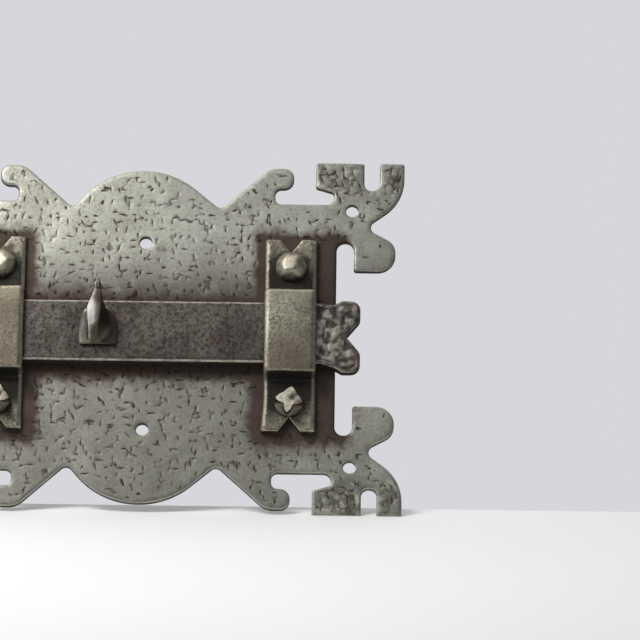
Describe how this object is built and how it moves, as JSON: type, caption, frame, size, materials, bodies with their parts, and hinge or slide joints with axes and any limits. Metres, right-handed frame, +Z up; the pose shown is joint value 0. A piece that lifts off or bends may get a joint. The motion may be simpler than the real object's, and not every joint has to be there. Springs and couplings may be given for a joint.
{
  "type": "sliding door bolt",
  "caption": "Forged flat-bar door bolt on a decorative backplate, guided by riveted straps and moved by a thumb knob.",
  "frame": {"origin": "centre of the backplate on its flat back face, which is the mounting face", "axes": "+X along the bar towards its fishtail end, +Y into the door, +Z up; the bar locks towards -X"},
  "size_m": [0.1842, 0.025, 0.1152],
  "materials": {
    "plate_iron": "burnished mild steel sheet with dark chisel marks, brown stain and specks of rust",
    "bar_iron": "dark forged steel, fine mottling, bright worn edges",
    "knob_iron": "dark forged steel with a polished ridge",
    "strap_iron": "dark oiled forged steel, bright worn edges",
    "rivet_iron": "hammered steel with polished facets"
  },
  "bodies": {
    "plate_assembly": {"backplate": "plate_iron", "left_strap": "strap_iron", "right_strap": "strap_iron", "rivet_upper_left": "rivet_iron", "rivet_lower_left": "rivet_iron", "rivet_upper_right": "rivet_iron", "rivet_lower_right": "rivet_iron"},
    "bolt": {"slide_bar": "bar_iron", "thumb_knob": "knob_iron"}
  },
  "joints": [
    {"name": "bolt_slide", "type": "slide", "parent": "plate_assembly", "child": "bolt", "axis": [1, 0, 0], "range_m": [-0.0055, 0.0445]}
  ]
}
